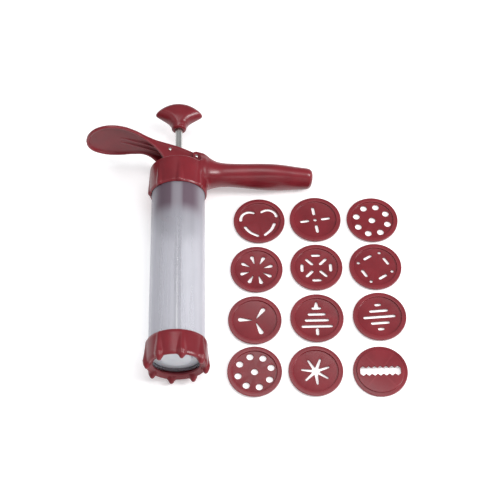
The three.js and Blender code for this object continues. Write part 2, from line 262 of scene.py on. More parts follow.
def red_recipe(wire):
    """Glossy coloured plastic, slightly mottled, paler and duller along its rubbed edges."""
    place = wire.node("ShaderNodeTexCoord", output="Object")
    cloud, grain, speck = noise(wire, place, 45, 3), noise(wire, place, 700, 2), noise(wire, place, 3200, 1)
    edge = wire.node("ShaderNodeAttribute", {"attribute_name": "edge"}, {}, "Fac")
    rubbed = edge * (grain * 0.9 + 0.15)
    base = blend_colours(wire, cloud * 1.6 - 0.3, RED_DEEP, RED)
    return {
        "Base Color": blend_colours(wire, rubbed * 0.45, base, RED_WORN),
        "Roughness": cloud * 0.1 + speck * 0.06 + rubbed * 0.1 + 0.22,
        "Specular IOR Level": 0.4,
        "Subsurface Weight": 0.04,
        "Subsurface Scale": 0.002,
        "Normal": wire.node("ShaderNodeBump", {}, {"Strength": 0.12, "Distance": 0.00006, "Height": grain}),
    }


red = finish_of("red_plastic", red_recipe)


def outline_field(outline, x, y):
    """Distance to a closed outline, negative inside it."""
    nearest, inside = np.inf, False
    for (ax, ay), (bx, by) in zip(outline, outline[1:] + outline[:1]):
        dx, dy = bx - ax, by - ay
        if dx == dy == 0:
            continue
        t = np.clip(((x - ax) * dx + (y - ay) * dy) / (dx * dx + dy * dy), 0, 1)
        nearest = np.minimum(nearest, np.hypot(x - ax - t * dx, y - ay - t * dy))
        if dy:
            inside = inside ^ (((ay > y) != (by > y)) & (x < ax + (y - ay) * dx / dy))
    return np.where(inside, -nearest, nearest)


def read(grid, low, step, *place):
    """The grid's value at any place, between its points by straight lines."""
    corner, share = [], []
    for along, start, count in zip(place, low, grid.shape):
        t = np.clip((along - start) / step, 0, count - 1.001)
        corner.append(t.astype(np.int32))
        share.append(t - corner[-1])
    total = 0
    for bits in itertools.product((0, 1), repeat=grid.ndim):
        weight = 1
        for part, bit in zip(share, bits):
            weight = weight * (part if bit else 1 - part)
        total = total + weight * grid[tuple(c + bit for c, bit in zip(corner, bits))]
    return total


def turned_field(profile, radius, height, step=0.2, margin=6.0):
    """Distance to a solid turned about an axis, from its closed line of (radius, height)."""
    spread = np.array(profile, float)
    low = (0.0, spread[:, 1].min() - margin)
    reach = spread[:, 0].max() + margin, spread[:, 1].max() + margin
    r, h = (np.arange(a, b, step) for a, b in zip(low, reach))
    table = outline_field(profile, r[:, None], h[None, :])
    radius, height = np.broadcast_arrays(radius, height)
    beyond = np.maximum(np.abs(height - (low[1] + reach[1]) / 2) - (reach[1] - low[1]) / 2, 0)
    return read(table, low, step, radius, height) + beyond + np.maximum(radius - reach[0], 0)


def fuse(a, b, fillet):
    """Two fields joined, with a fillet between them."""
    near = np.maximum(fillet - np.abs(a - b), 0) / fillet
    return np.minimum(a, b) - near * near * fillet / 4


def trim(a, b, edge=0.4):
    """A field with another cut out of it, and the cut's edge rounded."""
    return -fuse(-a, b, edge)


def meet(a, b, edge):
    """What two fields share, with the edge between them rounded."""
    return -fuse(-a, -b, edge)


def moulded(field, low, high, cell):
    """A closed skin round the places where a field is negative, in millimetres."""
    low = np.array(low, float)
    counts = np.ceil((np.array(high) - low) / cell).astype(int) + 1
    value = np.array(np.broadcast_to(
        field(*np.ix_(*(a + cell * np.arange(n) for a, n in zip(low, counts)))), counts))
    inside = value < 0
    corners = list(itertools.product((0, 1), repeat=3))

    def at(grid, corner):
        return grid[tuple(slice(c, n - 1 + c) for c, n in zip(corner, counts))]

    filled = sum(at(inside, c).astype(np.int8) for c in corners)
    crossed = (filled > 0) & (filled < 8)
    where = np.argwhere(crossed)
    number = np.full(crossed.shape, -1)
    number[crossed] = np.arange(len(where))
    offset, met = np.zeros((len(where), 3)), np.zeros(len(where))
    for corner in corners:
        for axis in (i for i in range(3) if not corner[i]):
            far = tuple(1 if i == axis else c for i, c in enumerate(corner))
            a, b = at(value, corner)[crossed], at(value, far)[crossed]
            cut = (a < 0) != (b < 0)
            along = np.where(cut, a / np.where(cut, a - b, 1), 0)
            offset[cut] += (np.array(corner, float) + along[:, None] * np.eye(3)[axis])[cut]
            met[cut] += 1
    points = low + (where + offset / met[:, None]) * cell

    faces = []
    for axis in range(3):
        u, v = (axis + 1) % 3, (axis + 2) % 3
        first, second = [slice(1, n - 1) for n in counts], [slice(1, n - 1) for n in counts]
        first[axis], second[axis] = slice(0, -1), slice(1, None)
        a, b = inside[tuple(first)], inside[tuple(second)]
        for solid_first in (True, False):
            base = np.argwhere((a == solid_first) & (b != solid_first))
            base[:, u] += 1
            base[:, v] += 1
            quad = []
            for du, dv in ((1, 1), (0, 1), (0, 0), (1, 0)):
                cells = base.copy()
                cells[:, u] -= du
                cells[:, v] -= dv
                quad.append(number[tuple(cells.T)])
            faces.append(np.stack(quad if solid_first else quad[::-1], 1))
    faces = np.concatenate(faces)

    # Evens out the skin's cells and draws it back onto the true surface.
    slopes = np.gradient(value, cell)
    a, b = faces.ravel(), np.roll(faces, -1, 1).ravel()
    shares = (np.bincount(a, minlength=len(points)) + np.bincount(b, minlength=len(points)))[:, None]
    for _ in range(4):
        total = np.stack([
            np.bincount(a, points[b, i], len(points)) + np.bincount(b, points[a, i], len(points))
            for i in range(3)
        ], 1)
        points = 0.5 * points + 0.5 * total / shares
        height = read(value, low, cell, *points.T)
        slope = np.stack([read(s, low, cell, *points.T) for s in slopes], 1)
        pull = height / np.maximum((slope**2).sum(1), 0.25)
        points = points - slope * np.clip(pull, -cell / 2, cell / 2)[:, None]

    mesh = bpy.data.meshes.new("moulded")
    mesh.vertices.add(len(points))
    mesh.vertices.foreach_set("co", points.ravel())
    mesh.loops.add(faces.size)
    mesh.loops.foreach_set("vertex_index", faces.ravel())
    mesh.polygons.add(len(faces))
    mesh.polygons.foreach_set("loop_start", np.arange(0, faces.size, 4))
    mesh.update(calc_edges=True)
    return mesh


def ribs_field(profile, axis, turn, x, y, z):
    """Ribs of one turned shape, set at equal angles round the wall."""
    sector = 2 * math.pi / RIB_COUNT
    angle = np.arctan2(z, x) + math.radians(turn)
    angle = angle - np.round(angle / sector) * sector
    around = np.hypot(x, z)
    return turned_field(
        profile, np.hypot(around * np.cos(angle) - axis, around * np.sin(angle)), y)


def ring_field(x, y, z):
    around = np.hypot(x, z)
    wall = turned_field([
        (26, -2.4), (27.1, -1.4), (27.5, 0.6), (27.5, 18.6), (27.0, 20.9), (26.3, 21.6), (25.5, 21.6),
        (25.5, 4.8), (25.2, 4.8), (25.2, 1.8), (20.9, 1.8), (20.9, 0), (25.4, -2.4),
    ], around, y)
    feet = ribs_field([
        (0, -6.5), (1.0, -6.45), (2.0, -5.3), (3.3, -2.6), (4.0, 1), (1.3, 20), (0, 20),
    ], RING_RIB_AXIS, RING_TURN, x, y, z)
    bore = turned_field([
        (0, -12), (22.1, -12), (22.1, -0.6), (20.9, 0), (20.9, 1.8), (25.2, 1.8), (25.2, 4.8), (25.5, 4.8),
        (25.5, 30), (0, 30),
    ], around, y)
    return trim(fuse(wall, feet, 1.8), bore, 0.3)


ring_mesh = moulded(ring_field, (-31, -8, -31), (31, 24, 31), 0.45)
ring_mesh = finish_mesh(ring_mesh, PRESS_AXES, 60, False)
piece("ring_ribbed", ring_mesh, red, "ring", "red_plastic", "nozzle_ring")

# ==== Head ====================================================================================
# One red moulding: the ribbed collar over the tube's end, the fixed handle, and the hump with
# two ears that carry the lever's pin. A skirt reaches down inside the tube.
COLLAR_RIB_AXIS, COLLAR_TURN, HANDLE_Y, HANDLE_TILT = 24.75, -1.5, 204.4, math.radians(0.9)
COLLAR_LOW, COLLAR_BORE, BORE_TOP, RECESS, DECK = 177.3, 25.5, 189.3, 24.4, 193.3
PIVOT, PIN_HOLE, EAR_RADIUS, EAR_OUTER, EAR_INNER = (16.1, 215.8), 1.6, 5.6, 13.9, 11.4
GRIP = [
    (20, 16.8), (24, 16.4), (27, 15), (30, 13.7), (36, 11.9), (42, 11), (50, 10.7), (62, 10.8), (75, 11.1),
    (88, 11.2), (100, 10.8), (112, 9.9), (120, 9.5), (125.5, 9.1), (128.4, 7.9), (129.9, 5.6), (130.5, 2),
]


def flowing(points, steps=6):
    """A smooth line through the points."""
    first = 2 * np.array(points[0]) - np.array(points[1])
    last = 2 * np.array(points[-1]) - np.array(points[-2])
    knots = [first, *map(np.array, points), last]
    out = []
    for a, b, c, d in zip(knots, knots[1:], knots[2:], knots[3:]):
        for i in range(steps):
            t = i / steps
            out.append(tuple(0.5 * (
                2 * b + (c - a) * t + (2 * a - 5 * b + 4 * c - d) * t**2 + (3 * b - a - 3 * c + d) * t**3)))
    return out + [tuple(map(float, points[-1]))]


def rising(x, start, end):
    """0 before start and 1 after end, with a smooth step between."""
    t = np.clip((x - start) / (end - start), 0, 1)
    return t * t * (3 - 2 * t)


def arc(centre, radius, start, end, steps=10):
    angles = np.radians(np.linspace(start, end, steps + 1))
    return [(centre[0] + radius * math.cos(a), centre[1] + radius * math.sin(a)) for a in angles]


def plate_field(outline, x, y, z, inner, outer, edge):
    """A flat outline in x and y, solid where |z| is between inner and outer."""
    flat = outline_field(outline, x, y)
    middle, half = (inner + outer) / 2, (outer - inner) / 2
    return meet(flat, np.abs(np.abs(z) - middle) - half, edge)


def drilled(x, y, centre, radius):
    return np.hypot(x - centre[0], y - centre[1]) - radius


def handle_field(x, y, z):
    """The grip: turned, then widened across the press, most of all near its end."""
    line = flowing(GRIP)
    along = x * math.cos(HANDLE_TILT) + (y - HANDLE_Y) * math.sin(HANDLE_TILT)
    height = (y - HANDLE_Y) * math.cos(HANDLE_TILT) - x * math.sin(HANDLE_TILT)
    width = 1.16 + 0.28 * rising(along, 40, 95) - 0.1 * rising(along, 105, 130)
    profile = [(r, a) for a, r in line] + [(-r, a) for a, r in reversed(line)]
    return turned_field(profile, np.hypot(height, z / width), along)


def head_field(x, y, z):
    around = np.hypot(x, z)
    collar = turned_field([
        (26.3, COLLAR_LOW), (27.3, 179.3), (27.3, 205.2), (26.9, 206.2), (26.2, 206.6),
        (RECESS, 206.6), (RECESS, DECK), (-RECESS, DECK), (-COLLAR_BORE, BORE_TOP),
        (COLLAR_BORE, BORE_TOP), (COLLAR_BORE, COLLAR_LOW),
    ], around, y)  # the outline runs past the axis, so the deck is whole in the middle
    side_ribs = ribs_field([
        (0, COLLAR_LOW), (3.2, COLLAR_LOW), (4.1, 178.8), (4.1, 180.6), (2.5, 203), (0, 203),
    ], COLLAR_RIB_AXIS, COLLAR_TURN, x, y, z)
    side_ribs = np.maximum(side_ribs, x - 22.5)  # none under the handle's root
    body = fuse(fuse(collar, side_ribs, 0.9), handle_field(x, y, z), 4.5)
    body = trim(body, np.maximum(around - COLLAR_BORE, y - BORE_TOP), 0.3)
    body = trim(body, np.maximum(around - RECESS, DECK - y), 0.6)
    hump = [
        (PIVOT[0] - 3.8, 192.3), (46, 198), (46, 205), (40, 208.5), (35, 211.2), (31, 214), (27, 217.2),
        (23, 219.8), *arc(PIVOT, EAR_RADIUS, 60, 132),
    ]
    half = EAR_OUTER - 6.5 * rising(x, 23, 46)  # narrower towards the grip
    soft = 1.4 + 5 * rising(x, 18, 34)
    body = fuse(body, meet(outline_field(hump, x, y), np.abs(z) - half, soft), 4)
    skirt = turned_field([(17, 158), (19.5, 158), (19.5, 190), (17, 190)], around, y)
    guide = np.maximum(around - 6.5, np.abs(y - 186.6) - 3.6)
    body = fuse(fuse(body, skirt, 0.8), guide, 0.8)
    slot = np.maximum(np.maximum(np.abs(x - 10.4) - 12.4, np.abs(z) - EAR_INNER), DECK - y)
    body = trim(body, slot, 0.7)
    return trim(trim(body, around - 3.9, 0.5), drilled(x, y, PIVOT, PIN_HOLE), 0.2)


head_mesh = moulded(head_field, (-31, 156, -31), (133, 224, 31), 0.6)
head_mesh = finish_mesh(head_mesh, PRESS_AXES, 60, False)
piece("head_collar_handle", head_mesh, red, "press", "red_plastic", "head")

# ==== Lever ===================================================================================
# A red moulded squeeze lever: a thumb-shaped paddle, dished underneath inside a raised rim, that
# narrows to a channel with a flange on each side. Its tail turns on the pin between the ears.
PAWL_PIVOT, LEVER_TAIL, FLANGE = (-9.2, 224.3), 5.2, 2.4
LEVER_TOP = [
    (22, 217), (16, 220.8), (0, 227.5), (-10, 230.5), (-22, 233.8), (-34, 237.2), (-48, 239.7),
    (-62, 240.5), (-77, 239.6), (-92, 237.2),
]
LEVER_UNDER = [
    (-12.5, 205.5), (-15.5, 213.8), (-20, 221), (-26, 227.6), (-34, 232.7), (-42, 235.3),
    (-50, 236.2), (-62, 236.5), (-77, 235.8), (-92, 233.4),
]
PADDLE_EDGE = [
    (-22, 11), (-29, 12), (-35, 14), (-41, 16.9), (-47, 19.3), (-53, 21.5), (-59, 22.7), (-65, 23),
    (-71, 22.3), (-77, 20.1), (-82, 16.9), (-86, 12.3), (-88.7, 6.5), (-89.8, 0),
]


def lever_field(x, y, z):
    top_line, under_line = flowing(LEVER_TOP), flowing(LEVER_UNDER)
    top_x, top_y = np.array(top_line[::-1]).T
    over = y - np.interp(x, top_x, top_y)  # height over the lever's top face
    crown = 0.9 * rising(-x, 30, 60) * (z / 22) ** 2  # the paddle's back is gently crowned
    edge_line = flowing(PADDLE_EDGE)
    plan = [*edge_line, *[(a, -b) for a, b in reversed(edge_line)]]
    thickness = 2.6 - 0.9 * rising(-x, 34, 60)
    sheet = np.maximum(over + crown, -over - thickness)
    edge = outline_field([(60, 11), *plan, (60, -11)], x, z)
    body = np.maximum(meet(sheet, edge, 1.5), x - 18)
    wall = np.abs(edge + FLANGE / 2) - FLANGE / 2
    side = [*arc(PIVOT, LEVER_TAIL, 70, -90), (8, 205.5), *under_line, *reversed(top_line[6:])]
    rim = meet(meet(outline_field(side, x, y), wall, 1.2), over + crown, 1.2)
    body = meet(np.maximum(fuse(body, rim, 2.6), over + crown), edge, 1.0)
    ridge = [(-16, 229.5), (-16, 228), (-34, 232.8), (-46, 236.2), (-56, 238.6), (-34, 236)]
    body = fuse(body, plate_field(ridge, x, y, z, 2.4, 4.2, 0.6), 1.0)
    slot = np.maximum(np.maximum(np.abs(x - 1) - 6.2, np.abs(z) - 4.6), 215 - y)
    body = trim(body, slot, 0.6)
    body = trim(body, drilled(x, y, PIVOT, PIN_HOLE), 0.2)
    return trim(body, drilled(x, y, PAWL_PIVOT, PIN_HOLE), 0.2)


lever_mesh = moulded(lever_field, (-92, 203, -24), (24, 243, 24), 0.5)
piece("lever_paddle", finish_mesh(lever_mesh, PRESS_AXES, 60, False), red, "lever", "red_plastic", "lever")

# ==== Pins ====================================================================================
# Two bright steel pins with slightly domed ends, pressed through the ears and the flanges.
STEEL, STEEL_DARK = (0.78, 0.77, 0.74, 1), (0.45, 0.445, 0.43, 1)


def steel_recipe(wire):
    """Drawn steel: fine streaks along the press, brighter and duller in turn."""
    place = wire.node("ShaderNodeTexCoord", output="Object")
    drawn = wire.node("ShaderNodeMapping", {}, {"Vector": place, "Scale": (1600, 6, 1600)})
    streak, cloud = noise(wire, drawn, 1.0, 3), noise(wire, place, 160, 2)
    return {
        "Base Color": blend_colours(wire, streak * 0.7 + cloud * 0.1, STEEL_DARK, STEEL),
        "Roughness": streak * 0.1 + cloud * 0.06 + 0.2,
        "Metallic": 1.0,
        "Normal": wire.node("ShaderNodeBump", {}, {"Strength": 0.05, "Distance": 0.00004, "Height": streak}),
    }


steel = finish_of("drawn_steel", steel_recipe)


def pin(name, centre, half, body):
    """Turned along the press's z, so it needs no quarter turn."""
    low_end = [(0, -half), (1.0, -half + 0.1), (1.5, -half + 0.5)]
    line = low_end + [(radius, -height) for radius, height in reversed(low_end)]
    mesh = finish_mesh(turned(eased(line, 0.3), 32), PRESS_AXES @ Matrix.Translation((*centre, 0)))
    piece(f"{name}_turned", mesh, steel, body, "bright_steel", name)


pin("lever_pin", PIVOT, 14.2, "press")
pin("pawl_pin", PAWL_PIVOT, 11.3, "lever")

# ==== Pawl ====================================================================================
# A small stamped steel catch that hangs on its pin inside the lever and bites the rod's notches.
PAWL_HALF = 3.8


def pawl_field(x, y, z):
    px, py = PAWL_PIVOT
    shape = [
        *arc(PAWL_PIVOT, 2.9, 0, 200), (px - 1.6, py - 8), (-4.2, py - 10), (-4.2, py - 8.4),
        (-5.4, py - 4),
    ]
    plate = plate_field(shape, x, y, z, -PAWL_HALF, PAWL_HALF, 0.5)
    return trim(plate, drilled(x, y, PAWL_PIVOT, 1.8))


pawl_mesh = moulded(pawl_field, (-14, 212, -5), (-2, 229, 5), 0.22)
piece("pawl_stamped", finish_mesh(pawl_mesh, PRESS_AXES, 60, False), steel, "pawl", "bright_steel", "pawl")

# ==== Springs =================================================================================
# Two wound wire springs: a long one under the lever that lifts it again, and a short one on the
# pawl's pin. Both are round wire on a plain helix with closed ends.
WIRE_SIDES, TURN_STEPS = 10, 28


def nodes_for(name, *inputs):
    """A geometry node tree with its named inputs, and a Wire for each of them."""
    tree = bpy.data.node_groups.new(name, "GeometryNodeTree")
    for label, kind in [("Geometry", "Geometry"), *inputs]:
        tree.interface.new_socket(label, in_out="INPUT", socket_type=f"NodeSocket{kind}")
    tree.interface.new_socket("Geometry", in_out="OUTPUT", socket_type="NodeSocketGeometry")
    source = tree.nodes.new("NodeGroupInput")
    labels = ["Geometry", *(entry[0] for entry in inputs)]
    return tree, {label: Wire(tree, source.outputs[label]) for label in labels}


def close_nodes(tree, shape, material):
    wire = Wire(tree)
    plain = wire.node("GeometryNodeRealizeInstances", {}, {"Geometry": shape})
    coated = wire.node("GeometryNodeSetMaterial", {}, {"Geometry": plain, "Material": material})
    wire.node("NodeGroupOutput", {}, {"Geometry": coated})


def grown(tree, start=None, **values):
    """Runs a geometry node tree on a start mesh and returns the plain mesh that it makes."""
    seed = bpy.data.objects.new("seed", start or bpy.data.meshes.new("seed"))
    bpy.context.scene.collection.objects.link(seed)
    modifier = seed.modifiers.new("grow", "NODES")
    modifier.node_group = tree
    for item in tree.interface.items_tree:
        if item.in_out == "INPUT" and item.name in values:
            modifier[item.identifier] = values[item.name]
    seed.update_tag()
    graph = bpy.context.evaluated_depsgraph_get()
    mesh = bpy.data.meshes.new_from_object(seed.evaluated_get(graph))
    bpy.data.objects.remove(seed)
    return mesh


def spring_nodes():
    tree, given = nodes_for(
        "wound_spring", ("Radius", "Float"), ("Wire", "Float"), ("Length", "Float"), ("Turns", "Float"))
    wire = Wire(tree)
    helix = wire.node("GeometryNodeCurveSpiral", {}, {
        "Resolution": TURN_STEPS, "Rotations": given["Turns"], "Start Radius": given["Radius"],
        "End Radius": given["Radius"], "Height": given["Length"],
    })
    section = wire.node(
        "GeometryNodeCurvePrimitiveCircle", {}, {"Resolution": WIRE_SIDES, "Radius": given["Wire"]})
    swept = wire.node(
        "GeometryNodeCurveToMesh", {}, {"Curve": helix, "Profile Curve": section, "Fill Caps": True})
    close_nodes(tree, swept, steel)
    return tree


spring_tree = spring_nodes()
lever_spring_mesh = grown(spring_tree, Radius=2.7, Wire=0.55, Length=22.0, Turns=6.0)
lever_spring_place = ALONG_PRESS @ Matrix.Translation((10.6, 0, 194.9))
finish_mesh(lever_spring_mesh, lever_spring_place, 60)
mark_edges(lever_spring_mesh)
lever_spring = bpy.data.objects.new("lever_spring_wound", lever_spring_mesh)
bpy.context.scene.collection.objects.link(lever_spring)
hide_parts("lever_spring")
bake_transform(lever_spring)

pawl_spring_mesh = grown(spring_tree, Radius=2.4, Wire=0.42, Length=3.0, Turns=3.0)
pawl_spring_place = PRESS_AXES @ Matrix.Translation((*PAWL_PIVOT, 4.9))
piece("pawl_spring_wound", finish_mesh(pawl_spring_mesh, pawl_spring_place, 60), steel, "lever",
      "bright_steel", "pawl_spring")

# ==== Push rod ================================================================================
# A bright steel rod with a row of notches cut across one side, one for each squeeze of the
# lever. It turns half a turn so that the notches miss the pawl and the rod draws back.
ROD_RADIUS, ROD_BOTTOM, ROD_TOP = 3.5, 10.4, 268.0
NOTCH_FIRST, NOTCH_PITCH, NOTCH_COUNT, NOTCH_DEPTH = 60.0, 5.0, 36, 0.8


def notch_nodes():
    tree, given = nodes_for(
        "notched_rod", ("Cutter", "Object"), ("Notches", "Int"), ("First", "Float"), ("Pitch", "Float"))
    wire = Wire(tree)
    start = wire.node("ShaderNodeCombineXYZ", {}, {"Z": given["First"]})
    step = wire.node("ShaderNodeCombineXYZ", {}, {"Z": given["Pitch"]})
    row = wire.node("GeometryNodeMeshLine", {}, {
        "Count": given["Notches"], "Start Location": start, "Offset": step})
    cutter = wire.node("GeometryNodeObjectInfo", {}, {"Object": given["Cutter"]}, "Geometry")
    cutters = wire.node("GeometryNodeInstanceOnPoints", {}, {"Points": row, "Instance": cutter})
    plain = wire.node("GeometryNodeRealizeInstances", {}, {"Geometry": cutters})
    cut = wire.node("GeometryNodeMeshBoolean", {"operation": "DIFFERENCE", "solver": "EXACT"}, {
        "Mesh 1": given["Geometry"], "Mesh 2": plain})
    close_nodes(tree, cut, steel)
    return tree


def prism(outline, levels):
    """A closed mesh from an outline, widened by each level's own amount at its height."""
    points = np.array(outline, float)
    ahead, behind = np.roll(points, -1, 0) - points, points - np.roll(points, 1, 0)
    normals = [np.stack([d[:, 1], -d[:, 0]], 1) / np.hypot(*d.T)[:, None] for d in (ahead, behind)]
    bend = normals[0] + normals[1]
    bend = bend / np.maximum((bend * normals[0]).sum(1), 0.5)[:, None]
    count = len(points)
    corners = [(*(p + widen * b), height) for height, widen in levels for p, b in zip(points, bend)]
    faces = [list(range(count))[::-1], [len(corners) - count + i for i in range(count)]]
    for level in range(len(levels) - 1):
        base = level * count
        for i in range(count):
            j = (i + 1) % count
            faces.append([base + i, base + j, base + count + j, base + count + i])
    mesh = bpy.data.meshes.new("cutter")
    mesh.from_pydata(corners, [], faces)
    return mesh


def hidden(name, mesh):
    """An object that only lends its mesh to a node tree."""
    lent = bpy.data.objects.new(name, mesh)
    bpy.context.scene.collection.objects.link(lent)
    lent.hide_render = True
    return lent


notch = prism([(-4.5, -1.5), (-ROD_RADIUS + NOTCH_DEPTH, 0), (-4.5, 1.5)], [(-4, 0), (4, 0)])
notch.transform(Matrix.Rotation(math.radians(90), 4, "X"))
notch_cutter = hidden("notch_cutter", notch)
rod_line = [(0, ROD_BOTTOM), (ROD_RADIUS, ROD_BOTTOM), (ROD_RADIUS, ROD_TOP), (0, ROD_TOP)]
rod_blank = turned(eased(rod_line, 0.5), 64)
rod_mesh = grown(notch_nodes(), rod_blank, Cutter=notch_cutter, Notches=NOTCH_COUNT,
                 First=NOTCH_FIRST, Pitch=NOTCH_PITCH)
bpy.data.objects.remove(notch_cutter)
piece("push_rod_notched", finish_mesh(rod_mesh, ALONG_PRESS, 30), steel, "rod", "bright_steel", "push_rod")

# ==== Rod knob ================================================================================
# A red fan-shaped knob pressed on the rod: a round neck that spreads into a wide, flat head.
# It lies nearly level, so it is turned back by half of the press's roll.
KNOB_SIDE = [
    (7.6, 244), (7.6, 258.2), (8.6, 261.2), (10.9, 264.4), (15, 267.4), (19.8, 269.9), (22.6, 271.4),
    (23.3, 273.2), (22.5, 275.3), (19, 278.6), (13.4, 281.8), (7, 284.0), (0, 284.8),
]
KNOB_NECK, KNOB_DEPTH, KNOB_ROUND = 7.6, 9.2, 7.4


def knob_field(x, y, z):
    """A fan-shaped outline, swelled to a soft pillow and thinned towards its two ends."""
    side = flowing(KNOB_SIDE, 4)
    fan = outline_field(side + [(-a, b) for a, b in reversed(side[:-1])], x, y)
    depth = KNOB_NECK + (KNOB_DEPTH - KNOB_NECK) * rising(y, 256, 270)
    depth = depth * np.sqrt(1 - np.clip(x / 28, -1, 1) ** 2)
    swell = np.hypot(np.maximum(fan + KNOB_ROUND, 0), np.maximum(np.abs(z) - depth + KNOB_ROUND, 0))
    around = np.hypot(x, z)
    neck = turned_field([
        (0, 254.9), (5.4, 254.9), (7.0, 255.9), (KNOB_NECK, 258.2), (10, 261), (40, 264), (40, 293),
        (0, 293),
    ], around, y)
    body = meet(swell - KNOB_ROUND, neck, 0.8)
    return trim(body, np.maximum(around - 3.8, y - 268.3), 0.4)


knob_mesh = moulded(knob_field, (-25, 253, -12), (25, 287, 12), 0.45)
knob_place = PRESS_AXES @ Matrix.Rotation(-ROLL / 2, 4, "Y")
knob_mesh = finish_mesh(knob_mesh, knob_place, 60, False)
piece("rod_knob_moulded", knob_mesh, red, "rod", "red_plastic", "rod_knob")

# ==== Piston ==================================================================================
# A pale plastic piston that just fits the tube: a shallow raised boss on its face, a rim that
# scrapes the wall, and a hub behind that the rod turns in.
PALE, PALE_GREY = (0.66, 0.68, 0.70, 1), (0.50, 0.51, 0.56, 1)


def pale_recipe(wire):
    """Milky white plastic with a soft, cloudy surface."""
    place = wire.node("ShaderNodeTexCoord", output="Object")
    cloud, grain = noise(wire, place, 60, 3), noise(wire, place, 1200, 2)
    return {
        "Base Color": blend_colours(wire, cloud * 1.4 - 0.2, PALE_GREY, PALE),
        "Roughness": grain * 0.12 + 0.32,
        "Subsurface Weight": 0.1,
        "Subsurface Scale": 0.003,
        "Normal": wire.node("ShaderNodeBump", {}, {"Strength": 0.1, "Distance": 0.00006, "Height": grain}),
    }


pale = finish_of("pale_plastic", pale_recipe)
piston_line = [
    (0, 5.2), (13.5, 5.2), (14.3, 6.8), (22, 6.8), (22.6, 7.4), (22.6, 13), (20.9, 13), (20.9, 10), (7, 10),
    (7, 18), (3.8, 18), (3.8, 10), (0, 10),
]
piece("piston_moulded", finish_mesh(turned(eased(piston_line, 0.5), 144), ALONG_PRESS), pale, "plunger",
      "white_plastic", "piston")

# ==== Piston clip =============================================================================
# A thin steel washer that keeps the rod in the piston's hub.
clip_line = [(3.8, 18.3), (6.4, 18.3), (6.4, 19.9), (3.8, 19.9)]
piece("piston_clip_turned", finish_mesh(turned(eased(clip_line, 0.25), 64), ALONG_PRESS), steel, "rod",
      "bright_steel", "piston_clip")

# ==== Discs ===================================================================================
# Twelve red moulded discs. Each has a raised rim round a thin plate, a step underneath that
# drops into the ring, and its own pattern of slots and holes with eased edges.
DISC_HEIGHT, PLATE, SLOT, SLOT_EASE, BEYOND = 3.2, 1.8, 2.8, 0.28, 0.6
DISC_LINE = [
    (0, 0), (21.3, 0), (21.3, 1.0), (24.66, 1.0), (24.66, DISC_HEIGHT), (20.4, DISC_HEIGHT),
    (20.4, PLATE), (0, PLATE),
]
CUT_LEVELS = [
    (-BEYOND, SLOT_EASE + BEYOND), (SLOT_EASE, 0), (PLATE - SLOT_EASE, 0),
    (PLATE + BEYOND, SLOT_EASE + BEYOND),
]


def disc_nodes():
    tree, given = nodes_for(
        "pierced_disc", ("Repeated", "Object"), ("Single", "Object"), ("Repeats", "Int"), ("Turn", "Float"))
    wire = Wire(tree)
    spot = wire.node("GeometryNodeMeshLine", {}, {"Count": given["Repeats"], "Offset": (0, 0, 0)})
    index = wire.node("GeometryNodeInputIndex")
    share = wire.sum_of("DIVIDE", index * (2 * math.pi), given["Repeats"])
    turn = wire.node("ShaderNodeCombineXYZ", {}, {"Z": share})
    repeated, single = (
        wire.node("GeometryNodeObjectInfo", {}, {"Object": given[label]}, "Geometry")
        for label in ("Repeated", "Single"))
    around = wire.node("GeometryNodeInstanceOnPoints", {}, {
        "Points": spot, "Instance": repeated, "Rotation": turn})
    cutters = wire.node("GeometryNodeJoinGeometry")
    joint = cutters.socket.node.inputs[0]
    for part in (around, single):
        tree.links.new(part.socket, joint)
    heading = wire.node("ShaderNodeCombineXYZ", {}, {"Z": given["Turn"]})
    turned_cutters = wire.node("GeometryNodeTransform", {}, {
        "Geometry": wire.node("GeometryNodeRealizeInstances", {}, {"Geometry": cutters}),
        "Rotation": heading})
    pierced = wire.node("GeometryNodeMeshBoolean", {"operation": "DIFFERENCE", "solver": "EXACT"}, {
        "Mesh 1": given["Geometry"], "Mesh 2": turned_cutters, "Self Intersection": True})
    close_nodes(tree, pierced, red)
    return tree


def slot_outline(line, width=SLOT, end_width=None):
    """A slot with round ends along a line, which may widen from its start to its end."""
    end_width = width if end_width is None else end_width
    points = np.array(line, float)
    last = len(points) - 1
    left_side, right_side = [], []
    for i, point in enumerate(points):
        ahead = points[min(i + 1, last)] - points[max(i - 1, 0)]
        ahead = ahead / np.hypot(*ahead)
        left = np.array([-ahead[1], ahead[0]])
        half = (width + (end_width - width) * i / last) / 2
        if 0 < i < last:
            left_side.append(point + half * left)
            right_side.append(point - half * left)
            continue
        turn = math.pi / 2 if i else -math.pi / 2  # the start is rounded first, then the end
        inwards = -ahead if i else ahead
        left_side += [point + half * inwards * (1 - math.cos(a)) + half * left * math.sin(a)
                      for a in np.linspace(turn, -turn, 7)]
    loop = left_side + right_side[::-1]
    return [tuple(map(float, p)) for p in loop][::-1]


def polar(radius, degrees):
    return radius * math.cos(math.radians(degrees)), radius * math.sin(math.radians(degrees))


def ray(degrees, start, end, width=SLOT, end_width=None):
    return slot_outline([polar(start, degrees), polar(end, degrees)], width, end_width)


def bar(y, length, width=SLOT):
    return slot_outline([(-length / 2, y), (length / 2, y)], width)


def cross_bar(degrees, radius, length):
    (x, y), (dx, dy) = polar(radius, degrees), polar(length / 2, degrees + 90)
    return slot_outline([(x - dx, y - dy), (x + dx, y + dy)])


def hole(centre, radius):
    return arc(centre, radius, 0, 360, 24)[:-1]


def mirrored(outline):
    return [(-x, y) for x, y in reversed(outline)]


def heart():
    lobe = slot_outline(arc((8.9, 3.6), 8.4, 134, -8, 14))
    side = slot_outline(flowing([(14.9, -3.4), (10.2, -10.7), (2.4, -16.4)], 5))
    return [lobe, side, mirrored(lobe), mirrored(side)]


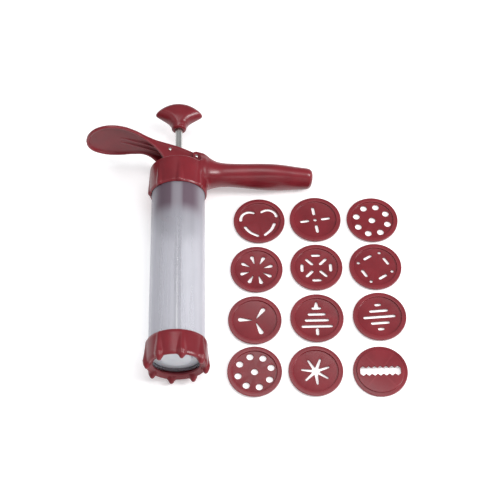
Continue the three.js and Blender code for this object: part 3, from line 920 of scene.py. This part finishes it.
def star():
    """Seven rays that run together round a middle hole, as one outline."""
    outline = []
    for i in range(7):
        heading = 360 / 7 * i
        outline.append(polar(3.5, heading - 180 / 7))
        for a in np.linspace(-90, 90, 7):
            tip = polar(1.0, a)
            x, y = 12.3 + tip[0], tip[1]
            c, s = math.cos(math.radians(heading)), math.sin(math.radians(heading))
            outline.append((x * c - y * s, x * s + y * c))
    return outline


def ribbon():
    teeth, pitch = 7, 5.2
    start = -teeth * pitch / 2
    upper = []
    for i in range(teeth):
        upper += [(start + i * pitch, 2.9), (start + (i + 0.5) * pitch, 4.9)]
    upper.append((-start, 2.9))
    return [(x, -y) for x, y in upper] + upper[::-1]


TREE = [
    slot_outline([(0, 17.4), (0, 9.6)], 2.0, 4.2), bar(4.4, 16.6), bar(-1.8, 22.4), bar(-8.1, 28.8),
    slot_outline([(0, -9.8), (0, -17.4)]), bar(10.7, 9),
]
# For each disc: how often the first cutters repeat, those cutters, the single ones, and its turn.
DISCS = {
    "heart": (0, [], heart(), 7),
    "cross": (4, [ray(0, 5.6, 14.7)], [hole((0, 0), 1.6)], 7.5),
    "nine_hole_a": (8, [hole((15.4, 0), 3.2)], [hole((0, 0), 3.2)], 28),
    "flower": (8, [ray(0, 7, 16, 0.8, 3.6)], [], 16.5),
    "cross_bars": (4, [ray(45, 4.3, 14), cross_bar(0, 13.5, 8.8)], [], 0),
    "square": (4, [cross_bar(0, 12.5, 9.1), hole(polar(16.3, 41), 1.5)], [], 31.5),
    "propeller": (3, [ray(0, 2.6, 15.6, 0.9, 4.3)], [], 54.5),
    "tree": (0, [], TREE, 0),
    "bars": (0, [], [bar(12.6, 6.2), bar(6.3, 17.5), bar(0, 30), bar(-6.3, 17.5), bar(-12.6, 6.2)], 3.5),
    "nine_hole_b": (8, [hole((15.4, 0), 3.2)], [hole((0, 0), 3.2)], 14.5),
    "star": (0, [], [star()], 18),
    "ribbon": (0, [], [ribbon()], 0),
}


def joined(meshes):
    """Several meshes as one. An empty list gives an empty mesh."""
    shape = bmesh.new()
    for mesh in meshes:
        shape.from_mesh(mesh)
    whole = bpy.data.meshes.new("joined")
    shape.to_mesh(whole)
    shape.free()
    return whole


disc_tree = disc_nodes()
for pattern, (repeats, around, single, turn) in DISCS.items():
    node = f"disc_{pattern}"
    low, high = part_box(node)
    centre = (low + high) / 2
    lent = [hidden(label, joined([prism(o, CUT_LEVELS) for o in outlines]))
            for label, outlines in (("repeated", around), ("single", single))]
    blank = turned(eased(DISC_LINE, 0.55), 160)
    mesh = grown(disc_tree, blank, Repeated=lent[0], Single=lent[1], Repeats=repeats,
                 Turn=math.radians(turn))
    for cutter in lent:
        bpy.data.objects.remove(cutter)
    place = Matrix.Translation((centre.x, centre.y, low.z)) @ Matrix.Scale(0.001, 4)
    if pattern == "ribbon":  # this one lies face down
        place = place @ Matrix.Translation((0, 0, DISC_HEIGHT)) @ Matrix.Rotation(math.pi, 4, "X")
    piece(f"{node}_moulded", finish_mesh(mesh, place, 30), red, node, "red_plastic", node)

# ==== Table, lights and camera ================================================================
# A plain white table under soft light: a broad panel overhead, a small bright key on the right
# and weak panels in front and on the left, with the camera looking down from in front.
EYE, LOOK_AT, LENS = Vector((-0.00635, -0.61617, 1.0177)), Vector((0.00661, 0.00242, 0)), 89.95


def table_recipe(wire):
    place = wire.node("ShaderNodeTexCoord", output="Object")
    cloud = noise(wire, place, 4, 2)
    return {
        "Base Color": blend_colours(wire, cloud, (0.86, 0.86, 0.86, 1), (0.90, 0.90, 0.90, 1)),
        "Roughness": 0.7,
        "Specular IOR Level": 0.2,
        "Emission Color": (1, 1, 1, 1),
        "Emission Strength": 0.3,
    }


table_mesh = bpy.data.meshes.new("table")
table_mesh.from_pydata([(-6, -6, 0), (6, -6, 0), (6, 6, 0), (-6, 6, 0)], [], [(0, 1, 2, 3)])
table_mesh.materials.append(finish_of("white_table", table_recipe))
table = bpy.data.objects.new("table", table_mesh)
table.location.z = -0.0004
bpy.context.scene.collection.objects.link(table)


def panel(name, place, target, width, height, watts):
    light = bpy.data.lights.new(name, "AREA")
    light.shape, light.size, light.size_y, light.energy = "RECTANGLE", width, height, watts
    lamp = bpy.data.objects.new(name, light)
    lamp.location = place
    lamp.rotation_euler = (Vector(target) - Vector(place)).to_track_quat("-Z", "Y").to_euler()
    bpy.context.scene.collection.objects.link(lamp)


panel("overhead", (0.1, 0.1, 1.6), (0, 0, 0), 1.6, 0.6, 14)
panel("key_right", (0.95, -0.15, 0.75), (0, 0, 0), 0.3, 0.4, 10)
panel("front", (0.2, -1.5, 0.6), (0, 0, 0), 1.0, 0.3, 3)
panel("fill_left", (-1.2, 0.1, 0.9), (0, 0, 0), 0.6, 0.9, 1.2)

world = bpy.data.worlds.new("studio")
world.use_nodes = True
world.node_tree.nodes["Background"].inputs["Color"].default_value = (0.95, 0.96, 1.0, 1)
world.node_tree.nodes["Background"].inputs["Strength"].default_value = 0.42
bpy.context.scene.world = world
bpy.context.scene.view_settings.view_transform = "Standard"

camera = bpy.data.objects.new("camera", bpy.data.cameras.new("camera"))
camera.location = EYE
camera.rotation_euler = (LOOK_AT - EYE).to_track_quat("-Z", "Y").to_euler()
camera.data.lens, camera.data.sensor_width = LENS, 36
camera.data.clip_start, camera.data.clip_end = 0.05, 20
bpy.context.scene.collection.objects.link(camera)
bpy.context.scene.camera = camera
